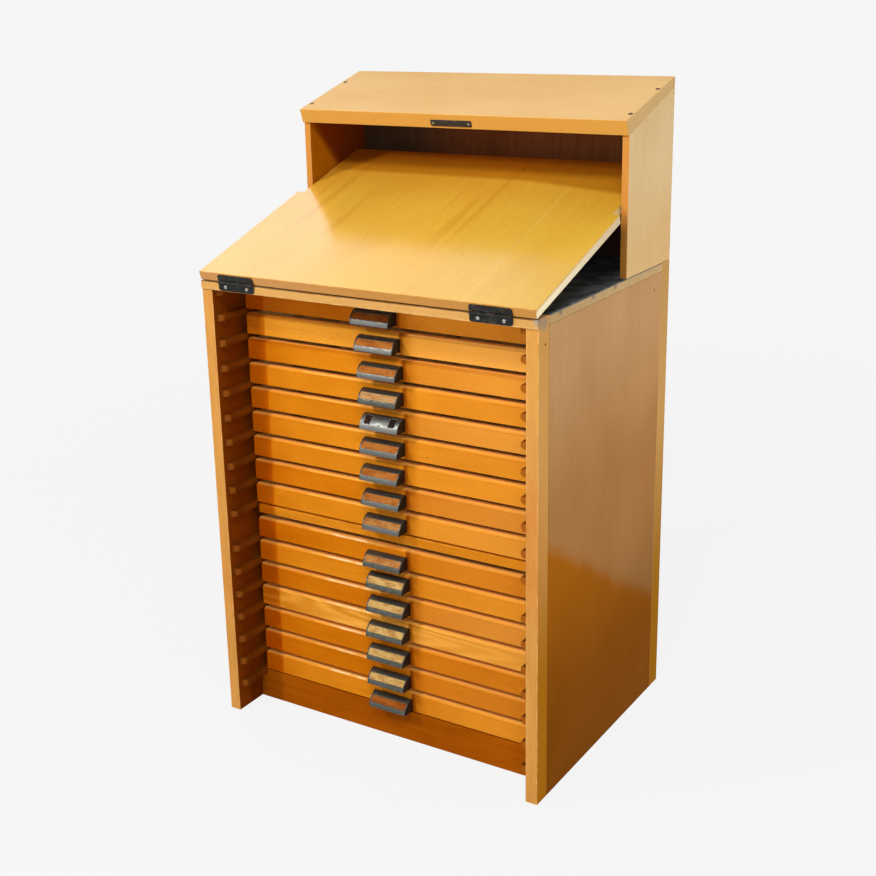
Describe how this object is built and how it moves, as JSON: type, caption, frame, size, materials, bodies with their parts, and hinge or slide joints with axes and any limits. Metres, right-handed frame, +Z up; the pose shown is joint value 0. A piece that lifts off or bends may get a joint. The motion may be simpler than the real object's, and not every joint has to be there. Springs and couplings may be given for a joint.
{
  "type": "printers cabinet",
  "caption": "Letterpress type cabinet: stacked shallow type cases on runners between framed sides, a sloping desk lid hinged at its front, and an open roofed hutch behind it.",
  "frame": {"origin": "middle of the footprint, on the floor", "axes": "+Z up; the fronts of the cases face -Y; +X to the right for someone facing the fronts"},
  "size_m": [0.7, 0.5494, 1.2298],
  "materials": {
    "desk_wood": "worn satin varnish",
    "roof_wood": "worn satin varnish",
    "edge_wood": "worn satin varnish",
    "side_wood": "semi-gloss varnish",
    "front_wood": "semi-gloss varnish",
    "dark_wood": "dull",
    "back_wood": "dull, unfinished",
    "blackened_wood": "worn black paint",
    "pull_steel": "worn, darkened",
    "hinge_black": "black, satin",
    "pin_steel": "plain"
  },
  "bodies": {
    "cabinet": {"left_front_stile": "edge_wood", "right_front_stile": "edge_wood", "left_rear_stile": "edge_wood", "right_rear_stile": "edge_wood", "left_side_panel": "side_wood", "right_side_panel": "side_wood", "top_board": "blackened_wood", "top_front_strip": "edge_wood", "mid_rail": "front_wood", "plinth": "dark_wood", "rear_bottom_rail": "dark_wood", "back_panel": "back_wood", "hutch_left_side": "side_wood", "hutch_right_side": "side_wood", "hutch_roof": "roof_wood", "hutch_back": "back_wood", "lid_rest_left": "dark_wood", "lid_rest_right": "dark_wood", "left_hinge_lower_leaf": "hinge_black", "left_hinge_pin": "pin_steel", "right_hinge_lower_leaf": "hinge_black", "right_hinge_pin": "pin_steel"},
    "lid": {"desk_lid": "desk_wood", "left_hinge_upper_leaf": "hinge_black", "right_hinge_upper_leaf": "hinge_black"},
    "case_01": {"type_case_01": "front_wood", "case_pull_01": "pull_steel"},
    "case_02": {"type_case_02": "front_wood", "case_pull_02": "pull_steel"},
    "case_03": {"type_case_03": "front_wood", "case_pull_03": "pull_steel"},
    "case_04": {"type_case_04": "front_wood", "case_pull_04": "pull_steel"},
    "case_05": {"type_case_05": "front_wood", "case_pull_05": "pull_steel"},
    "case_06": {"type_case_06": "front_wood", "case_pull_06": "pull_steel"},
    "case_07": {"type_case_07": "front_wood", "case_pull_07": "pull_steel"},
    "case_08": {"type_case_08": "front_wood", "case_pull_08": "pull_steel"},
    "case_09": {"type_case_09": "front_wood", "case_pull_09": "pull_steel"},
    "case_10": {"type_case_10": "front_wood", "case_pull_10": "pull_steel"},
    "case_11": {"type_case_11": "front_wood", "case_pull_11": "pull_steel"},
    "case_12": {"type_case_12": "front_wood", "case_pull_12": "pull_steel"},
    "case_13": {"type_case_13": "front_wood", "case_pull_13": "pull_steel"},
    "case_14": {"type_case_14": "front_wood", "case_pull_14": "pull_steel"},
    "case_15": {"type_case_15": "front_wood", "case_pull_15": "pull_steel"},
    "case_16": {"type_case_16": "front_wood", "case_pull_16": "pull_steel"}
  },
  "joints": [
    {"name": "lid_hinge", "type": "hinge", "parent": "cabinet", "child": "lid", "pos_m": [0, -0.27124, 0.8905], "axis": [1, 0, 0], "range_deg": [0, 12]},
    {"name": "case_01_slide", "type": "slide", "parent": "cabinet", "child": "case_01", "axis": [0, -1, 0], "range_m": [0, 0.33]},
    {"name": "case_02_slide", "type": "slide", "parent": "cabinet", "child": "case_02", "axis": [0, -1, 0], "range_m": [0, 0.33]},
    {"name": "case_03_slide", "type": "slide", "parent": "cabinet", "child": "case_03", "axis": [0, -1, 0], "range_m": [0, 0.33]},
    {"name": "case_04_slide", "type": "slide", "parent": "cabinet", "child": "case_04", "axis": [0, -1, 0], "range_m": [0, 0.33]},
    {"name": "case_05_slide", "type": "slide", "parent": "cabinet", "child": "case_05", "axis": [0, -1, 0], "range_m": [0, 0.33]},
    {"name": "case_06_slide", "type": "slide", "parent": "cabinet", "child": "case_06", "axis": [0, -1, 0], "range_m": [0, 0.33]},
    {"name": "case_07_slide", "type": "slide", "parent": "cabinet", "child": "case_07", "axis": [0, -1, 0], "range_m": [0, 0.33]},
    {"name": "case_08_slide", "type": "slide", "parent": "cabinet", "child": "case_08", "axis": [0, -1, 0], "range_m": [0, 0.33]},
    {"name": "case_09_slide", "type": "slide", "parent": "cabinet", "child": "case_09", "axis": [0, -1, 0], "range_m": [0, 0.33]},
    {"name": "case_10_slide", "type": "slide", "parent": "cabinet", "child": "case_10", "axis": [0, -1, 0], "range_m": [0, 0.33]},
    {"name": "case_11_slide", "type": "slide", "parent": "cabinet", "child": "case_11", "axis": [0, -1, 0], "range_m": [0, 0.33]},
    {"name": "case_12_slide", "type": "slide", "parent": "cabinet", "child": "case_12", "axis": [0, -1, 0], "range_m": [0, 0.33]},
    {"name": "case_13_slide", "type": "slide", "parent": "cabinet", "child": "case_13", "axis": [0, -1, 0], "range_m": [0, 0.33]},
    {"name": "case_14_slide", "type": "slide", "parent": "cabinet", "child": "case_14", "axis": [0, -1, 0], "range_m": [0, 0.33]},
    {"name": "case_15_slide", "type": "slide", "parent": "cabinet", "child": "case_15", "axis": [0, -1, 0], "range_m": [0, 0.33]},
    {"name": "case_16_slide", "type": "slide", "parent": "cabinet", "child": "case_16", "axis": [0, -1, 0], "range_m": [0, 0.33]}
  ]
}
